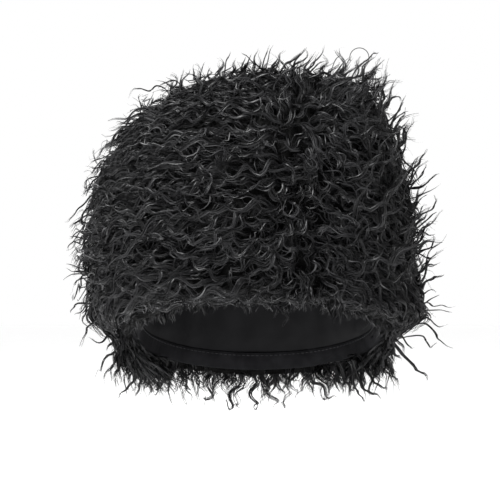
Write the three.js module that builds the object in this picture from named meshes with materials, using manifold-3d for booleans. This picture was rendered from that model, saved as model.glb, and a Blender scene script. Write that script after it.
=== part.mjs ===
// A hat of long, curly black fur: a soft crown of hide, a smooth lining, a bound hem and deep fur in locks.
// Millimetres, +Z up. The wearer looks along -Y, and the wearer's left is +X. The origin is the middle of
// the head opening, at the height of the front rim.
import * as THREE from "three";
import { mergeVertices } from "three/addons/utils/BufferGeometryUtils.js";
import Module from "manifold-3d";

const wasm = await Module();
wasm.setup();

// Crown of hide, measured outside at the head band
const HALF_WIDTH = 88;
const HALF_FRONT = 100;
const HALF_BACK = 104;
const HIDE_HEIGHT = 140;
const HIDE_WALL = 2;
const DOME_POWER = 2.7; // 2 is an ellipse, more is boxier

// Lining and hem
const LINING_WALL = 1;
const BINDING_WALL = 0.8;
const BINDING_HEIGHT = 8;
const GAP = 0.5; // between two neighbouring pieces
const CLEAR = GAP + BINDING_WALL + GAP; // from the hide to the fur beside the binding

// Rim and lean
const RIM_DROP = 56; // how much lower the rim is at the nape than at the brow
const RIM_DROP_REACH = 120; // the drop fades out at this height
const FLARE = 12; // how far the nape of the rim stands out
const FLARE_REACH = 60;
const CROWN_LEAN = 26; // how far the top of the fur leans to +X
const LEAN_POWER = 5;

// Fur: a dense pile, and locks that stand out of it
const PILE_DEPTH = 35;
const PILE_SIDE_BULGE = 10; // more depth on the -X side, above this height
const PILE_BULGE_START = 45;
const PILE_HANG = 12; // below the rim at the nape
const FRONT_HANG = 0.25; // share of that at the brow
const TUCK_START = 12; // below the brow, from where the fur lies closer and closer to the hide
const TUCK_END = 32;
const TUCK_LEFT = 0.4; // share of its depth that it loses there, on the -X side and on the +X side
const TUCK_RIGHT = 0.7;
const HEM_CLIMB = -0.05; // stands for the lower lip of the pile, where climb is 0 at the rim and 1 at the top
const PARTING_X = 34; // the fur parts here, to -X and to +X
const PARTING_WIDTH = 26;
const PARTING_DEPTH = 7;

// Lower lip of the pile from the hide outwards, as shares of the pile's depth and of its hang
const LIP = [
  { out: 0, down: 0 },
  { out: 0, down: 0.5 },
  { out: 0.3, down: 1 },
  { out: 0.58, down: 1 },
  { out: 0.84, down: 0.45 },
];
const LIP_SHOULDER = 0.96; // share of the depth at the height of the binding
const FULL_DEPTH_HEIGHT = 24; // above the rim, where the pile has its whole depth

// The way that the fur lies on the two sides of the parting and at the nape, where x is away from the middle
const FLOW_LEFT = [-1, 0.35, -0.12];
const FLOW_RIGHT = [0.75, 0.1, -0.75];
const FLOW_NAPE = [0.25, 0.2, -1];
const FLOW_BLEND = 40; // to either side of the parting
const NAPE_FLOW_START = -20;
const NAPE_FLOW_END = 90;

// Locks
const ROOT_DEPTH = 9;
const LOCK_SIDES = 3;
const LOCK_STEPS = 4;
const LOCK_THICKNESS = 0.24; // share of its width
const LOCK_TAPER = 0.6; // under 1 keeps a lock wide for most of its length
const LOCK_BEND_RADIUS = 130; // a lock bends with the crown below it
const SHORTEST_HEM_LOCK = 0.25; // share of the length at the brow
const SHORTEST_LOCK = 14;
const LOWEST_TIP = -42; // of the locks above the hem, which end where the fur is tucked in
const NORMAL_TUCK = 0.4; // share of the tuck that the locks' lie follows
const UNEVEN = { climb: 0.03, turn: 0.25, side: 0.35, length: 0.18, lift: 0.3, sway: 0.14, width: 0.15 };

// Facets of the lathed walls
const AROUND = 30;
const RINGS = 8;
const RING_POWER = 1.15; // gathers the rings a little towards the rim

// Rings of locks from the hem up to the crown
const LOCK_RINGS = [
  { climb: HEM_CLIMB, count: 25, length: 32, width: 20, lift: 0.1 },
  { climb: 0.05, count: 23, length: 50, width: 30, lift: 0.3 },
  { climb: 0.15, count: 23, length: 54, width: 31, lift: 0.34 },
  { climb: 0.27, count: 22, length: 54, width: 32, lift: 0.36 },
  { climb: 0.4, count: 20, length: 52, width: 32, lift: 0.38 },
  { climb: 0.54, count: 17, length: 48, width: 31, lift: 0.38 },
  { climb: 0.68, count: 13, length: 44, width: 30, lift: 0.4 },
  { climb: 0.82, count: 8, length: 40, width: 28, lift: 0.45 },
  { climb: 0.94, count: 4, length: 34, width: 24, lift: 0.5 },
];

// Long locks that stand out of the rest: turn in degrees from the brow towards +X, and the way to the tip.
const LONG_LOCKS = [
  { turn: 97, climb: HEM_CLIMB, x: 34, y: 4, z: -22, width: 12 },
  { turn: 88, climb: 0.02, x: 28, y: -4, z: -8, width: 13 },
  { turn: 80, climb: 0.1, x: 28, y: -6, z: 6, width: 12 },
  { turn: 116, climb: HEM_CLIMB, x: 4, y: 8, z: -32, width: 14 },
  { turn: 131, climb: HEM_CLIMB, x: 4, y: 6, z: -42, width: 20 },
  { turn: 148, climb: HEM_CLIMB, x: 2, y: 6, z: -38, width: 20 },
  { turn: 170, climb: HEM_CLIMB, x: 4, y: 6, z: -28, width: 16 },
  { turn: -168, climb: HEM_CLIMB, x: -4, y: 6, z: -28, width: 16 },
  { turn: -146, climb: HEM_CLIMB, x: 0, y: 6, z: -36, width: 20 },
  { turn: -132, climb: HEM_CLIMB, x: 0, y: 6, z: -42, width: 20 },
  { turn: -118, climb: HEM_CLIMB, x: 4, y: 6, z: -40, width: 18 },
  { turn: -88, climb: 0.03, x: -14, y: 4, z: -24, width: 13 },
  { turn: -86, climb: 0.16, x: -20, y: 4, z: -8, width: 12 },
  { turn: -84, climb: 0.55, x: -30, y: 4, z: 10, width: 12 },
  { turn: 62, climb: 0.7, x: 12, y: 2, z: 26, width: 12 },
  { turn: 20, climb: 0.93, x: -6, y: 4, z: 22, width: 11 },
  { turn: -7, climb: HEM_CLIMB, x: -3, y: -6, z: -12, width: 9 },
  { turn: 9, climb: HEM_CLIMB, x: 4, y: -6, z: -18, width: 9 },
  { turn: 24, climb: HEM_CLIMB, x: 6, y: -6, z: -20, width: 10 },
];

// A repeatable random number from 0 to 1
let seed = 7;
function random() {
  seed = (seed * 1664525 + 1013904223) % 4294967296;
  return seed / 4294967296;
}

function spread(amount) {
  return amount * (2 * random() - 1);
}

// Moves a point of the round lathed form to its place on the hat: an oval for the head, a rim that drops
// and flares towards the nape, and a crown that leans.
function toHat(point) {
  const turn = Math.atan2(point.x, -point.y);
  const nape = (1 - Math.cos(turn)) / 2;
  const height = Math.max(point.z, 0);
  const flare = FLARE * Math.sin(Math.abs(turn) / 2) * Math.max(0, 1 - height / FLARE_REACH) ** 2;
  const radius = Math.hypot(point.x, point.y) + flare;
  const stretch = (Math.cos(turn) > 0 ? HALF_FRONT : HALF_BACK) / HALF_WIDTH;
  const drop = RIM_DROP * nape * Math.max(0, 1 - height / RIM_DROP_REACH) ** 1.5;
  const below = Math.min(point.z, 0) * (FRONT_HANG + (1 - FRONT_HANG) * nape);
  const lean = CROWN_LEAN * (height / (HIDE_HEIGHT + PILE_DEPTH)) ** LEAN_POWER;
  return point.set(
    radius * Math.sin(turn) + lean,
    -radius * Math.cos(turn) * stretch,
    height + below - drop,
  );
}

// The point of a dome at climb, 0 on the side and 1 on the axis, as radius and height
function domePoint(radius, height, climb) {
  const angle = (climb * Math.PI) / 2;
  const power = 2 / DOME_POWER;
  return new THREE.Vector2(radius * Math.cos(angle) ** power, height * Math.sin(angle) ** power);
}

// A dome from above the binding up to the axis, grown outwards from the hide by offset
function domeRows(offset) {
  const rows = [];
  for (let ring = 1; ring < RINGS; ring++) {
    const climb = (ring / RINGS) ** RING_POWER;
    rows.push(domePoint(HALF_WIDTH + offset, HIDE_HEIGHT + offset, climb));
  }
  rows.push(new THREE.Vector2(0, HIDE_HEIGHT + offset));
  return rows;
}

// The share of its depth that the fur loses at a place, more and more from the start to the end of the tuck
function tuckShare(turn, z) {
  const most = THREE.MathUtils.lerp(TUCK_LEFT, TUCK_RIGHT, (1 + Math.sin(turn)) / 2);
  return most * THREE.MathUtils.smoothstep(-z, TUCK_START, TUCK_END);
}

// The same for a point of the pile, which is deeper on one side, has a parting over the crown and is
// tucked in low at the nape, all the way or by a share
function pileToHat(point, tucked = 1) {
  const turn = Math.atan2(point.x, -point.y);
  const radius = Math.hypot(point.x, point.y);
  const outside = Math.max(0, radius - HALF_WIDTH - 2 * GAP) / PILE_DEPTH;
  const above = THREE.MathUtils.clamp((point.z - HIDE_HEIGHT - 2 * GAP) / PILE_DEPTH, 0, 1);
  const bulge = PILE_SIDE_BULGE * THREE.MathUtils.clamp(point.z / PILE_BULGE_START, 0, 1);
  toHat(point);
  const side = (point.x - PARTING_X) / PARTING_WIDTH;
  point.x -= bulge * outside * Math.max(0, -Math.sin(turn));
  point.z -= PARTING_DEPTH * above * Math.exp(-side * side);
  const tuck = tucked * tuckShare(turn, point.z) * Math.max(0, radius - HALF_WIDTH - CLEAR);
  point.x -= tuck * Math.sin(turn);
  point.y += tuck * Math.cos(turn);
  return point;
}

// Turns a closed profile round the axis and shapes it to the hat
function lathed(profile, shape = toHat) {
  const geometry = new THREE.LatheGeometry(profile, AROUND);
  geometry.rotateX(Math.PI / 2);
  geometry.deleteAttribute("normal");
  geometry.deleteAttribute("uv");
  const merged = mergeVertices(geometry, 1e-3);
  const position = merged.getAttribute("position");
  const point = new THREE.Vector3();
  for (let i = 0; i < position.count; i++) {
    shape(point.fromBufferAttribute(position, i));
    position.setXYZ(i, point.x, point.y, point.z);
  }
  return merged;
}

// A wall that runs up from the rim and closes over the head, between two offsets from the hide's outside
function wall(inside, outside) {
  const rim = (offset, z) => new THREE.Vector2(HALF_WIDTH + offset, z);
  return lathed([
    ...domeRows(inside).reverse(),
    rim(inside, BINDING_HEIGHT),
    rim(inside, 0),
    rim(outside, 0),
    rim(outside, BINDING_HEIGHT),
    ...domeRows(outside),
  ]);
}

// The strip that wraps the raw edge of the lining and the hide
function bindingGeometry() {
  const outer = HALF_WIDTH + GAP;
  const inner = HALF_WIDTH - HIDE_WALL - GAP - LINING_WALL - GAP;
  const profile = [
    [inner, BINDING_HEIGHT],
    [inner - BINDING_WALL, BINDING_HEIGHT],
    [inner - BINDING_WALL, -GAP - BINDING_WALL],
    [outer + BINDING_WALL, -GAP - BINDING_WALL],
    [outer + BINDING_WALL, BINDING_HEIGHT],
    [outer, BINDING_HEIGHT],
    [outer, -GAP],
    [inner, -GAP],
    [inner, BINDING_HEIGHT],
  ];
  return lathed(profile.map(([radius, z]) => new THREE.Vector2(radius, z)));
}

// The dense pile: it clears the binding and hangs below the rim in a round lip
function pileGeometry() {
  const clear = HALF_WIDTH + CLEAR;
  const outside = (share) => HALF_WIDTH + share * PILE_DEPTH;
  const rows = [
    ...domeRows(GAP).reverse(),
    new THREE.Vector2(HALF_WIDTH + GAP, BINDING_HEIGHT + 2 * GAP),
    new THREE.Vector2(clear, BINDING_HEIGHT + GAP),
    ...LIP.map(({ out, down }) => new THREE.Vector2(Math.max(clear, outside(out)), -down * PILE_HANG)),
    new THREE.Vector2(outside(LIP_SHOULDER), BINDING_HEIGHT),
    new THREE.Vector2(outside(1), FULL_DEPTH_HEIGHT),
    ...domeRows(PILE_DEPTH),
  ];
  return lathed(rows, pileToHat);
}

// A place on the outside of the pile, with its outward normal
function pilePlace(turn, climb) {
  const at = (turnHere, climbHere, tucked = NORMAL_TUCK) => {
    const outline = domePoint(HALF_WIDTH + PILE_DEPTH, HIDE_HEIGHT + PILE_DEPTH, Math.max(climbHere, 0));
    const z = climbHere < 0 ? -PILE_HANG : outline.y;
    const radius = climbHere < 0 ? outline.x - 0.4 * PILE_DEPTH : outline.x;
    return pileToHat(new THREE.Vector3(radius * Math.sin(turnHere), -radius * Math.cos(turnHere), z), tucked);
  };
  const step = 0.01;
  const above = Math.max(climb, 0.02);
  const round = at(turn + step, above).sub(at(turn - step, above));
  const up = at(turn, above + step).sub(at(turn, above - step));
  return { point: at(turn, climb, 1), normal: round.cross(up).normalize() };
}

// The way that the fur lies: to the left of the parting level and back, to its right down, at the back down
function flowAt(point, normal) {
  const right = THREE.MathUtils.smoothstep(point.x, PARTING_X - FLOW_BLEND, PARTING_X + FLOW_BLEND);
  const nape = THREE.MathUtils.smoothstep(point.y, NAPE_FLOW_START, NAPE_FLOW_END);
  const down = new THREE.Vector3(...FLOW_NAPE);
  down.x *= Math.sign(point.x);
  const flow = new THREE.Vector3(...FLOW_LEFT).lerp(new THREE.Vector3(...FLOW_RIGHT), right).lerp(down, nape);
  return flow.projectOnPlane(normal).normalize();
}

// A tapered lock along a smooth curve through the given points, flat to the fur below it
function lockSolid(points, normal, width) {
  const curve = new THREE.CatmullRomCurve3(points);
  const cone = new THREE.ConeGeometry(1, 1, LOCK_SIDES, LOCK_STEPS);
  cone.deleteAttribute("normal");
  cone.deleteAttribute("uv");
  const geometry = mergeVertices(cone, 1e-4);
  const position = geometry.getAttribute("position");
  for (let i = 0; i < position.count; i++) {
    const along = position.getY(i) + 0.5;
    const taper = along < 1 ? (1 - along) ** (LOCK_TAPER - 1) : 0;
    const across = 0.5 * width * taper * position.getX(i);
    const high = LOCK_THICKNESS * width * taper * position.getZ(i);
    const tangent = curve.getTangent(along);
    const side = new THREE.Vector3().crossVectors(normal, tangent).normalize();
    const up = new THREE.Vector3().crossVectors(tangent, side);
    const point = curve.getPoint(along).addScaledVector(side, -across).addScaledVector(up, high);
    position.setXYZ(i, point.x, point.y, point.z);
  }
  return solidOf(geometry);
}

// A lock that starts inside the pile, lies along the flow, sways and lifts its tip. At the hem it hangs, and
// just above it's short.
function ringLock(ring, turn) {
  const hangs = ring.climb === HEM_CLIMB;
  const nape = (1 - Math.cos(turn)) / 2;
  const { point, normal } = pilePlace(turn, hangs ? HEM_CLIMB : ring.climb + spread(UNEVEN.climb));
  const flow = hangs ? new THREE.Vector3(0.1 * normal.x, 0.1 * normal.y, -1) : flowAt(point, normal);
  const side = new THREE.Vector3().crossVectors(normal, flow);
  flow.addScaledVector(side, spread(UNEVEN.side)).normalize();
  const shortening = hangs ? THREE.MathUtils.lerp(SHORTEST_HEM_LOCK, 1, nape) : 1;
  const room = hangs ? Infinity : (point.z - LOWEST_TIP) / Math.max(-flow.z, 0.01);
  const wanted = ring.length * (1 + spread(UNEVEN.length)) * shortening;
  const length = Math.min(wanted, Math.max(room, SHORTEST_LOCK));
  const kept = 1 - tuckShare(turn, point.z);
  const lift = ring.lift * (1 + spread(UNEVEN.lift)) * kept;
  const sway = spread(UNEVEN.sway) * length;
  const at = (share, sideways) => {
    const along = share * length;
    const rise = lift * along - along ** 2 / (2 * LOCK_BEND_RADIUS);
    const place = point.clone().addScaledVector(flow, along);
    return place.addScaledVector(normal, rise).addScaledVector(side, sideways);
  };
  const root = point.clone().addScaledVector(hangs ? flow : normal, -ROOT_DEPTH * (hangs ? 1 : kept));
  const points = [root, at(0.35, sway), at(0.7, -sway), at(1, 0.5 * sway)];
  return lockSolid(points, normal, ring.width * (1 + spread(UNEVEN.width)) * Math.sqrt(kept));
}

function longLock({ turn, climb, x, y, z, width }) {
  const { point, normal } = pilePlace(THREE.MathUtils.degToRad(turn), climb);
  const reach = new THREE.Vector3(x, y, z);
  const side = new THREE.Vector3().crossVectors(normal, reach).normalize();
  const sway = 0.1 * reach.length();
  const at = (share, sideways, rise) => {
    const place = point.clone().addScaledVector(reach, share);
    return place.addScaledVector(side, sideways).addScaledVector(normal, rise);
  };
  const kept = 1 - tuckShare(THREE.MathUtils.degToRad(turn), point.z);
  const root = at(-0.15 * kept, 0, -0.5 * ROOT_DEPTH * kept);
  const points = [root, at(0.35, sway, 3), at(0.7, -sway, 2), at(1, 0, 0)];
  return lockSolid(points, normal, width * Math.sqrt(kept));
}

function solidOf(geometry) {
  const mesh = { numProp: 3 };
  mesh.vertProperties = new Float32Array(geometry.getAttribute("position").array);
  mesh.triVerts = new Uint32Array(geometry.getIndex().array);
  return new wasm.Manifold(new wasm.Mesh(mesh));
}

// All the fur as one body: the pile with its rings of locks and the long locks
function furGeometry() {
  const bodies = [solidOf(pileGeometry())];
  LOCK_RINGS.forEach((ring, row) => {
    for (let i = 0; i < ring.count; i++) {
      const turn = ((i + 0.5 * (row % 2) + spread(UNEVEN.turn)) / ring.count) * 2 * Math.PI;
      bodies.push(ringLock(ring, turn));
    }
  });
  bodies.push(...LONG_LOCKS.map(longLock));
  const { vertProperties, triVerts } = bodies.reduce((fur, lock) => fur.add(lock)).getMesh();
  return new THREE.BufferGeometry()
    .setAttribute("position", new THREE.BufferAttribute(vertProperties, 3))
    .setIndex(new THREE.BufferAttribute(triVerts, 1));
}

function piece(name, geometry, color, roughness) {
  geometry.computeVertexNormals();
  const material = new THREE.MeshStandardMaterial({ color, roughness, metalness: 0 });
  const mesh = new THREE.Mesh(geometry, material);
  mesh.name = name;
  return mesh;
}

const liningOutside = -HIDE_WALL - GAP;
const hat = new THREE.Group();
hat.add(piece("crown_shell", wall(-HIDE_WALL, 0), 0x2a2622, 0.9));
hat.add(piece("lining", wall(liningOutside - LINING_WALL, liningOutside), 0x17171a, 0.45));
hat.add(piece("hem_binding", bindingGeometry(), 0x26262a, 0.6));
hat.add(piece("fur", furGeometry(), 0x141416, 0.7));

export default hat;
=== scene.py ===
import math
from collections import namedtuple

import bmesh
import bpy
import numpy as np
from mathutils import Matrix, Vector


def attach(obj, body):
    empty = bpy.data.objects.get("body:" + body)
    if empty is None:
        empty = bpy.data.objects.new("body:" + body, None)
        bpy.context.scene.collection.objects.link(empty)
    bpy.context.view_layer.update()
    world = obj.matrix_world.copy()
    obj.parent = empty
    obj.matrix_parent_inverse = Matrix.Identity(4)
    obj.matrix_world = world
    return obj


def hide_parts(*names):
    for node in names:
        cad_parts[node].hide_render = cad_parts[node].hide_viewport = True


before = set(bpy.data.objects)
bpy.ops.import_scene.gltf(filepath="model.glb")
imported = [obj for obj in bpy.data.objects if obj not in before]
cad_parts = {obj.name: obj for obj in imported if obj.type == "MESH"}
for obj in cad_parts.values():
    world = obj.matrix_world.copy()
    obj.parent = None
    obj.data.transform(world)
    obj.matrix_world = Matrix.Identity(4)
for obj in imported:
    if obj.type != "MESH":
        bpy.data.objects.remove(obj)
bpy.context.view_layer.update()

MM = 0.001

# Form of the hide, with the walls inside it and the gap between neighbours
HALF_WIDTH = 0.088
HALF_FRONT = 0.1
HALF_BACK = 0.104
HIDE_HEIGHT = 0.14
DOME_POWER = 2.7
HIDE_WALL = 0.002
LINING_WALL = 0.001
BINDING_WALL = 0.0008
BINDING_HEIGHT = 0.008
GAP = 0.0005

# How the rim drops and widens towards the nape, and how high that reaches
RIM_DROP = 0.056
RIM_DROP_REACH = 0.12
FLARE = 0.012
FLARE_REACH = 0.06

# The fur's depth on the crown, and what hangs below the rim, at the brow as a share
PILE_DEPTH = 0.035
FUR_HEIGHT = HIDE_HEIGHT + PILE_DEPTH
PILE_HANG = 0.012
FRONT_HANG = 0.25
CLEAR = GAP + BINDING_WALL + GAP

# How the crown leans to the right, and the fur bulges on the left
CROWN_LEAN = 0.026
LEAN_POWER = 5
SIDE_BULGE = 0.01
BULGE_START = 0.045
MOST_BULGE = 1.3

# The share of its depth that the fur loses on either side, low at the nape
TUCK_LEFT = 0.4
TUCK_RIGHT = 0.7
TUCK_START = 0.012
TUCK_END = 0.032

# Meshes turned round the crown
AROUND = 240
HIDDEN_AROUND = 120
DOME_ROWS = 30
HIDDEN_ROWS = 14

# The lining's gores, and its gathers by the binding
GORES = 6
GORE_PUFF = 0.0022
GATHERS = 29
GATHER_DEPTH = 0.0005
GATHER_START = 0.012
GATHER_REACH = 0.02

# The binding's soft edges and puckers
BINDING_EDGE = 0.0003
PUCKERS = 130
PUCKER_DEPTH = 0.0002

# Stitches: STITCH_HALF is half the length of one, as a share of the way to the next
STITCHES = 150
STITCH_KNOTS = 4
STITCH_HALF = 0.3
STITCH_RISE = 0.0003
STITCH_RADIUS = 0.00028
STITCH_TONE = 0.5

# Undercoat, with its lower edge as shares of its depth and of PILE_HANG
UNDERCOAT_DEPTH = 0.024
UNDERCOAT_EDGE = ((0.96, 1.0), (0.86, 0.4), (0.7, -0.1), (0.5, -0.4), (0.25, -0.45))
LUMPS = 60
LUMP_HEIGHT = 0.0005
LUMP_WAVES = (120, 900)
LUMP_MIDDLE = (0.01, 0, 0.02)
LUMPS_GROW = (0.15, 0.4)
LUMP_SEED = 5

# The ways that the fur lies, and the places between which one turns into another
PARTING_X = 0.034
PARTING_BLEND = 0.055
FLOW_LEFT = (-1, 0.35, -0.12)
FLOW_RIGHT = (0.75, 0.1, -0.75)
FLOW_DOWN = (0.25, 0.2, -1)
NAPE_FLOW_Y = (-0.02, 0.09)
RIM_FLOW_Z = (-0.03, 0.03)
SIDE_FLOW_X = (0.06, 0.12)
RIM_PULL = 0.9

# Roots: the random places that there are for each root, on all the hat or in a zone, and the chance on top
ROOT_DEPTH = 0.02
POOL = 9
ZONE_POOL = 60
TOP_CLIMB = 0.999
TOP_CHANCE = 0.02

# How a lock grows over the crown: it bends, hangs below the rim, and draws in near it. HANG_GROWS and
# TUCK_GROWS are shares of the way from the brow to the nape.
AXIS_STEPS = 18
STRAIGHT_AT = 0.4
RISE_END = 0.3
BROW_HANG = 0.002
MORE_NAPE_HANG = 0.03
HANG_GROWS = (0.3, 0.9)
RIM_TUCK = 0.4
RIM_TUCK_Z = (-0.01, 0.014)
TUCK_GROWS = (0.1, 0.4)

# Corners round a strand: two make a flat strip, and three a closed tube
FLAT_SIDES = 2
THREAD_SIDES = 3

# The strands of a lock: how they differ, draw together, curl and taper. WAVE_GROWS and COIL_GROWS are shares
# of the way from the root to the tip.
STRAND_REACH = (0.72, 1.0)
TIP_GATHER = 0.85
TIP_TIGHTER = 0.15
PHASE_SPREAD = 0.45
TURNS_SPREAD = 0.08
WAVE_SPREAD = (-0.25, 0.2)
WAVE_GROWS = (-0.25, 0.45)
COIL_GROWS = (0.1, 0.7)
FRIZZ = 0.0012
LOCK_FLATNESS = 0.45
WAVE_FLATNESS = 0.6
TAPER = 2.4
TIP_SHARE = 0.14
RADIUS_SPREAD = (0.7, 1.25)
TONE_SPREAD = 0.18
ROLL_SEED = 3
FUR_SEED = 11

# The least and the most of its layer's value that a lock takes
LOCK_SPREAD = {
    "stray_lift": (0.4, 1), "depth": (0.94, 1.03), "width": (0.7, 1.3), "wave": (0.5, 1.35),
    "wavelength": (0.75, 1.4), "coil": (0, 1.4),
}
LOCK_TONES = (0.1, 0.8)

# Layers of locks, in millimetres, with veer and bend in radians. A share of the locks strays further out, by
# stray_lift. Loose is 1 where each strand curls by itself, and near 0 where the strands stay together. Locks
# lie the way that the fur does there, or along aim.
LAYERS = (
    {"locks": 2300, "strands": 4, "knots": 8, "length": (18, 32), "depth": 29, "lift": (-3, 4),
     "veer": 0.9, "bend": 0.8, "stray": 0.0, "stray_lift": 0, "width": 5, "wave": 2.1, "wavelength": 11,
     "coil": 0.5, "radius": 0.34, "loose": 1, "where": "all", "aim": None},
    {"locks": 1200, "strands": 9, "knots": 15, "length": (34, 54), "depth": 31, "lift": (-2, 6),
     "veer": 0.28, "bend": 0.5, "stray": 0.2, "stray_lift": 12, "width": 3.4, "wave": 2.4, "wavelength": 17,
     "coil": 0.5, "radius": 0.32, "loose": 0.6, "where": "all", "aim": None},
    {"locks": 340, "strands": 14, "knots": 18, "length": (44, 62), "depth": 33, "lift": (0, 5),
     "veer": 0.22, "bend": 0.4, "stray": 0.22, "stray_lift": 12, "width": 3.0, "wave": 3.6, "wavelength": 21,
     "coil": 0.3, "radius": 0.34, "loose": 0.35, "where": "all", "aim": None},
    {"locks": 560, "strands": 3, "knots": 16, "length": (24, 42), "depth": 33, "lift": (3, 13),
     "veer": 0.7, "bend": 1.1, "stray": 0.3, "stray_lift": 8, "width": 1.6, "wave": 2.8, "wavelength": 15,
     "coil": 1.1, "radius": 0.32, "loose": 0.6, "where": "all", "aim": None},
    {"locks": 170, "strands": 9, "knots": 12, "length": (22, 34), "depth": 30, "lift": (2, 8),
     "veer": 1.5, "bend": 0.9, "stray": 0.3, "stray_lift": 10, "width": 4.0, "wave": 2.6, "wavelength": 14,
     "coil": 0.8, "radius": 0.34, "loose": 1, "where": "parting", "aim": None},
    {"locks": 130, "strands": 11, "knots": 13, "length": (28, 42), "depth": 34, "lift": (14, 26),
     "veer": 0.7, "bend": 0.9, "stray": 0.0, "stray_lift": 0, "width": 3.0, "wave": 2.8, "wavelength": 15,
     "coil": 0.6, "radius": 0.34, "loose": 0.45, "where": "right", "aim": (0.5, -0.1, 0.8)},
    {"locks": 110, "strands": 8, "knots": 13, "length": (14, 24), "depth": 36, "lift": (10, 20),
     "veer": 1.0, "bend": 1.3, "stray": 0.0, "stray_lift": 0, "width": 2.6, "wave": 2.7, "wavelength": 12,
     "coil": 1.0, "radius": 0.34, "loose": 0.5, "where": "top", "aim": (0.6, -0.2, 0.8)},
    {"locks": 100, "strands": 4, "knots": 16, "length": (18, 30), "depth": 35, "lift": (8, 16),
     "veer": 0.9, "bend": 1.6, "stray": 0.0, "stray_lift": 0, "width": 1.8, "wave": 2.9, "wavelength": 11,
     "coil": 1.6, "radius": 0.34, "loose": 0.35, "where": "left", "aim": None},
)

# Locks that hang from the hem, in millimetres, over a span of turns from the brow in degrees. They reach as
# far as brow says at the front and as nape says behind.
FRINGES = (
    {"locks": 430, "turns": (-180, 180), "depth": (3, 18), "brow": 3, "nape": 32},
    {"locks": 150, "turns": (-138, -94), "depth": (2, 15), "brow": 24, "nape": 34},
    {"locks": 110, "turns": (106, 146), "depth": (2, 14), "brow": 22, "nape": 34},
    {"locks": 190, "turns": (-125, 80), "depth": (2, 11), "brow": 9, "nape": 15},
)

# What the hanging locks share, in metres
FRINGE_STRANDS = 9
FRINGE_KNOTS = 10
FRINGE_ROOT = 0.003
FRINGE_ABOVE = 0.006
FRINGE_SAG = 0.12
FRINGE_TURN_SPREAD = 0.04
FRINGE_WAY_SPREAD = 0.3
FRINGE_REACH = (0.5, 1.2)
FRINGE_GROWS = (0.4, 0.65)
FRINGE_TUFTS = 23
FRINGE_WIDTH = 0.0042
FRINGE_WAVE = 0.003
FRINGE_WAVELENGTH = 0.016
FRINGE_RADIUS = 0.00036
FRINGE_TONES = (0.1, 0.6)
FRINGE_LOOSE = 0.6

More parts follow.
